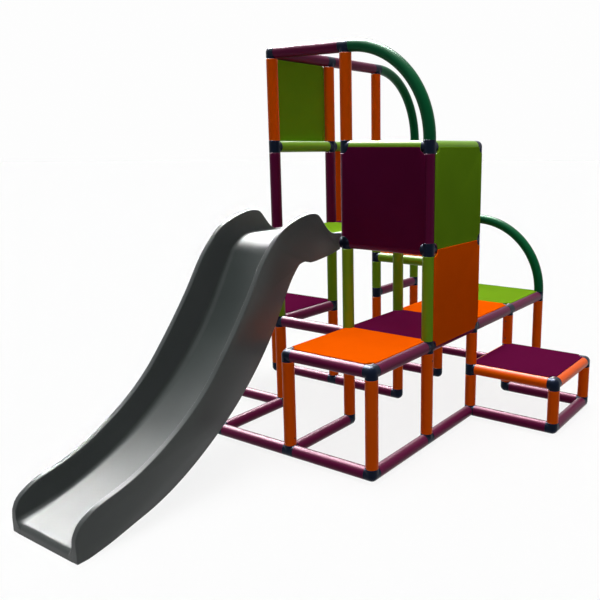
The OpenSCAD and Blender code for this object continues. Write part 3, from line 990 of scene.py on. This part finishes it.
def build_slide(sizes):
    """The moulded slide: two walls, the bed with its fillets, ribs and hook block in one body."""
    low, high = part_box("slide")
    width = high.x - low.x
    hook_y = low.y + SLIDE_REACH
    shells = [
        wall_shell((0.0, 1), sizes.rim_round),
        wall_shell((width, -1), sizes.rim_round),
        hook_block(width),
    ] + rib_shells(width)

    def placed(verts):
        return [(high.x - w, hook_y - u, v) for u, v, w in verts]

    body = Shell()
    for verts, faces in [bed_shell(width)] + shells:
        body.add(placed(verts), faces)
    colour = colour_named("slide_plastic")
    material = moulded_plastic("slide_plastic_shell", colour, gloss=0.25, tint=(1, 1, 1),
                               rough=0.31, grain=0.03, scuff=0.02)
    return new_piece("slide_shell", body.verts, body.faces, material, ["slide"],
                     smooth=28.0)


# Screws

# Grid point at the post's end, way along the post, side of the post
SCREW_SPOTS = [
    ((1, 0, 0), 1, (1, 0, 0)),
    ((0, 1, 0), 1, (1, 0, 0)),
    ((0, 2, 0), 1, (1, 0, 0)),
    ((1, 3, 1), -1, (1, 0, 0)),
    ((0, 1, 1), -1, (1, 0, 0)),
    ((1, 2, 1), 1, (1, 0, 0)),
    ((0, 3, 0.5), 1, (0, -1, 0)),
    ((0, 3, 1), -1, (0, -1, 0)),
]
# Section of a screw's head in shares of its radius, and the rings that bend into its cross recess
SCREW_PROFILE = [
    (0.0, -1.0), (1.0, -1.0), (1.0, 0.05), (0.93, 0.16), (0.75, 0.25), (0.5, 0.31),
    (0.42, 0.32), (0.30, 0.10), (0.0, 0.06),
]
CROSS_RINGS = (0.42, 0.30)
SCREW_SEGMENTS = 24
SCREW_SINK = 0.1 * MM
SCREW_SHADE = 0.25


def screw_shell(radius):
    """Domed head with a cross recess, its back sunk in the tube."""
    verts = []
    for reach, height in SCREW_PROFILE:
        for i in range(SCREW_SEGMENTS):
            angle = 2 * math.pi * i / SCREW_SEGMENTS
            x, y = math.cos(angle), math.sin(angle)
            wide = radius * reach
            if reach in CROSS_RINGS:
                wide *= 0.45 + 0.75 * max(abs(x), abs(y)) ** 6
            verts.append((wide * x, wide * y, radius * height))
    return weld(verts, loop_faces(len(SCREW_PROFILE), SCREW_SEGMENTS))


def grid_place(spot):
    """Place of a grid point, counted in pitches to the left, back and up."""
    x, y, z = GRID_START
    a, b, c = spot
    return Vector((x - a * PITCH, y + b * PITCH, z + c * PITCH))


def build_screws(sizes):
    """Screws that lock the plugs in the posts, all in one piece."""
    shell = Shell()
    verts, faces = screw_shell(sizes.screw_d / 2)
    for spot, way, side in SCREW_SPOTS:
        centre = grid_place(spot) + Vector((0, 0, way * sizes.screw_reach))
        centre += Vector(side) * (TUBE_R - SCREW_SINK)
        shell.add(verts, faces, Matrix.Translation(centre) @ upright_to(side))
    colour = [c * SCREW_SHADE for c in colour_named("orange_plastic")]
    material = moulded_plastic("screw_plastic", colour, gloss=0.2, tint=(1, 1, 1), rough=0.45)
    return new_piece("locking_screws", shell.verts, shell.faces, material)


# Stage

# The photograph's camera: place, radians, lens in millimetres, shift in widths of the picture
CAMERA_SPOT = (1.80055, -2.35235, 1.23009)
CAMERA_TURN = 0.58293
CAMERA_TILT = 0.20407
CAMERA_LENS = 42.358
CAMERA_SHIFT = (-0.14913, -0.01392)
CAMERA_CLIP = 300.0
# Background, and the part of the floor that takes shadows
BACKGROUND = (0.985, 0.985, 0.985, 1.0)
FLOOR_PALE = (0.97, 0.97, 0.97, 1.0)
FLOOR_DROP = 0.5 * MM
FLOOR_SEGMENTS = 96
# Lamps: width of those that light without shadows, and the weaker ones as shares of a setting
FILL_ANGLE = math.radians(10)
BACK_SHARE = 0.7
WALL_SHARE = 0.055
TOP_SHARE = 1.1
LAMP_DISTANCE = 3.0


def seen_rays(make):
    """1 on rays that show the background, straight or in a reflection."""
    rays = make.add("ShaderNodeLightPath")
    outs = rays.socket.node.outputs
    camera = Sock(make, outs["Is Camera Ray"])
    glossy = Sock(make, outs["Is Glossy Ray"])
    through = Sock(make, outs["Is Transmission Ray"])
    return make.add("ShaderNodeClamp", {"Value": camera + glossy + through})


def build_floor(stage):
    """Round studio floor that looks white and keeps the object's shadow."""
    verts = []
    for i in range(FLOOR_SEGMENTS):
        angle = 2 * math.pi * i / FLOOR_SEGMENTS
        x, y = math.cos(angle), math.sin(angle)
        verts.append((stage.floor_r * x, stage.floor_r * y, -FLOOR_DROP))
    mesh = bpy.data.meshes.new("studio_floor")
    mesh.from_pydata(verts, [], [tuple(range(FLOOR_SEGMENTS))])
    material = bpy.data.materials.new("studio_floor")
    make = ShaderMaker(material)
    seen = seen_rays(make)
    plain = make.add("ShaderNodeBsdfDiffuse", {"Color": (stage.floor_grey,) * 3 + (1.0,)})
    pale = make.add("ShaderNodeBsdfDiffuse", {"Color": FLOOR_PALE})
    glow = make.add("ShaderNodeEmission", {"Color": BACKGROUND, "Strength": 1.0})
    shown = make.add("ShaderNodeMixShader", {0: stage.shadow_share, 1: glow, 2: pale})
    both = make.add("ShaderNodeMixShader", {0: seen, 1: plain, 2: shown})
    make.add("ShaderNodeOutputMaterial", {"Surface": both})
    mesh.materials.append(material)
    floor = bpy.data.objects.new("studio_floor", mesh)
    bpy.context.scene.collection.objects.link(floor)


def build_world(stage):
    """Even room light, and white where the background shows."""
    world = bpy.data.worlds.new("studio_room")
    bpy.context.scene.world = world
    make = ShaderMaker(world)
    seen = seen_rays(make)
    room = make.add("ShaderNodeBackground", {
        "Color": (1.0, 1.0, 1.0, 1.0), "Strength": stage.ambient,
    })
    white = make.add("ShaderNodeBackground", {"Color": BACKGROUND, "Strength": 1.0})
    both = make.add("ShaderNodeMixShader", {0: seen, 1: room, 2: white})
    make.add("ShaderNodeOutputWorld", {"Surface": both})


def add_sun(name, strength, angle, direction, glossy=False, shadow=True):
    """A soft lamp far away, lighting or only reflected; direction points towards it."""
    lamp = bpy.data.lights.new(name, "SUN")
    lamp.energy = strength * math.pi
    lamp.angle = angle
    thing = bpy.data.objects.new(name, lamp)
    thing.matrix_world = upright_to(Vector(direction).normalized())
    thing.location = Vector(direction) * LAMP_DISTANCE
    lamp.use_shadow = shadow
    lamp.cycles.use_multiple_importance_sampling = shadow
    thing.visible_diffuse = not glossy
    thing.visible_glossy = glossy
    bpy.context.scene.collection.objects.link(thing)
    return thing


def add_gloss(name, strength, angle, direction, on_slide):
    """A lamp that only the slide, or only the rest, reflects; angle is its width in degrees."""
    thing = add_sun(name, strength, math.radians(angle), direction, glossy=True, shadow=False)
    group = bpy.data.collections.new(name + "_pieces")
    group.objects.link(bpy.data.objects["slide_shell"])
    group.collection_objects[0].light_linking.link_state = "INCLUDE" if on_slide else "EXCLUDE"
    thing.light_linking.receiver_collection = group


def build_camera():
    """The photograph's point of view."""
    data = bpy.data.cameras.new("photo_camera")
    data.sensor_width = 36.0
    data.lens = CAMERA_LENS
    data.shift_x, data.shift_y = CAMERA_SHIFT
    data.clip_end = CAMERA_CLIP
    camera = bpy.data.objects.new("photo_camera", data)
    right = Vector((math.cos(CAMERA_TURN), math.sin(CAMERA_TURN), 0))
    back = Vector((math.sin(CAMERA_TURN) * math.cos(CAMERA_TILT),
                   -math.cos(CAMERA_TURN) * math.cos(CAMERA_TILT), math.sin(CAMERA_TILT)))
    up = back.cross(right)
    turn = Matrix((right, up, back)).transposed().to_4x4()
    camera.matrix_world = Matrix.Translation(CAMERA_SPOT) @ turn
    bpy.context.scene.collection.objects.link(camera)
    bpy.context.scene.camera = camera


# Operators


class CLIMBER_OT_tubes(bpy.types.Operator):
    """Adds the straight tubes of every storey"""

    bl_idname = "climber.tubes"
    bl_label = "Add tubes"

    def execute(self, context):
        for node in TUBE_NODES:
            build_tubes(node, context.scene.climber_sizes)
        return {"FINISHED"}


class CLIMBER_OT_connectors(bpy.types.Operator):
    """Adds the plug-in connectors of every level"""

    bl_idname = "climber.connectors"
    bl_label = "Add connectors"

    def execute(self, context):
        for node in CONNECTOR_NODES:
            build_connectors(node, context.scene.climber_sizes)
        return {"FINISHED"}


class CLIMBER_OT_panels(bpy.types.Operator):
    """Adds the deck and wall panels"""

    bl_idname = "climber.panels"
    bl_label = "Add panels"

    def execute(self, context):
        pattern = panel_mesh(context.scene.climber_sizes)
        for node in DECK_NODES + list(WALL_FACINGS):
            build_panel(node, pattern)
        bpy.data.meshes.remove(pattern)
        return {"FINISHED"}


class CLIMBER_OT_arches(bpy.types.Operator):
    """Adds the quarter-circle arches"""

    bl_idname = "climber.arches"
    bl_label = "Add arches"

    def execute(self, context):
        for node in ARCH_STEPS:
            build_arch(node, context.scene.climber_sizes)
        return {"FINISHED"}


class CLIMBER_OT_slide(bpy.types.Operator):
    """Adds the moulded slide"""

    bl_idname = "climber.slide"
    bl_label = "Add slide"

    def execute(self, context):
        build_slide(context.scene.climber_sizes)
        return {"FINISHED"}


class CLIMBER_OT_screws(bpy.types.Operator):
    """Adds the locking screws"""

    bl_idname = "climber.screws"
    bl_label = "Add screws"

    def execute(self, context):
        build_screws(context.scene.climber_sizes)
        return {"FINISHED"}


class CLIMBER_OT_stage(bpy.types.Operator):
    """Adds floor, room light, lamps and camera"""

    bl_idname = "climber.stage"
    bl_label = "Add stage"

    def execute(self, context):
        stage = context.scene.climber_stage
        build_floor(stage)
        build_world(stage)
        back = stage.side_fill * BACK_SHARE
        add_sun("overhead_light", stage.sun, stage.sun_angle, (0, 0, 1))
        add_sun("overhead_fill", stage.fill, FILL_ANGLE, (0, 0, 1), shadow=False)
        add_sun("front_fill", stage.side_fill, FILL_ANGLE, (1, -1, 0.25), shadow=False)
        add_sun("back_fill", back, FILL_ANGLE, (-1, 1, 0.25), shadow=False)
        wall = stage.slide_gloss * WALL_SHARE
        top = stage.slide_gloss * TOP_SHARE
        add_gloss("rail_gloss", stage.rail_gloss, 50, (-0.5, 0.29, 0.82), on_slide=False)
        add_gloss("slide_gloss", stage.slide_gloss, 70, (-0.68, 0.60, 0.45), on_slide=True)
        add_gloss("wall_gloss", wall, 100, (0.7, 0.7, -0.1), on_slide=True)
        add_gloss("top_gloss", top, 60, (-0.2, 0.35, 0.92), on_slide=True)
        build_camera()
        context.scene.view_settings.view_transform = "Standard"
        return {"FINISHED"}


class CLIMBER_PT_sidebar(bpy.types.Panel):
    """Lists the steps and their settings"""

    bl_idname = "CLIMBER_PT_sidebar"
    bl_label = "Climbing frame"
    bl_space_type = "VIEW_3D"
    bl_region_type = "UI"
    bl_category = "Climbing frame"

    def draw(self, context):
        layout = self.layout
        for step in OPERATORS:
            layout.operator(step.bl_idname)
        for group in (context.scene.climber_colours, context.scene.climber_sizes,
                      context.scene.climber_stage):
            for name in group.__annotations__:
                layout.prop(group, name)


OPERATORS = (
    CLIMBER_OT_tubes, CLIMBER_OT_connectors, CLIMBER_OT_panels, CLIMBER_OT_arches,
    CLIMBER_OT_slide, CLIMBER_OT_screws, CLIMBER_OT_stage,
)
GROUPS = {
    "climber_colours": FrameColours,
    "climber_sizes": FrameSizes,
    "climber_stage": StageSizes,
}


def register():
    for kind in (*GROUPS.values(), *OPERATORS, CLIMBER_PT_sidebar):
        bpy.utils.register_class(kind)
    for name, kind in GROUPS.items():
        setattr(bpy.types.Scene, name, PointerProperty(type=kind))


def unregister():
    for name in GROUPS:
        delattr(bpy.types.Scene, name)
    for kind in (CLIMBER_PT_sidebar, *reversed(OPERATORS), *GROUPS.values()):
        bpy.utils.unregister_class(kind)


def main():
    """Builds everything."""
    register()
    bpy.ops.climber.tubes()
    bpy.ops.climber.connectors()
    bpy.ops.climber.arches()
    bpy.ops.climber.panels()
    bpy.ops.climber.slide()
    bpy.ops.climber.screws()
    bpy.ops.climber.stage()


if __name__ == "__main__":
    main()
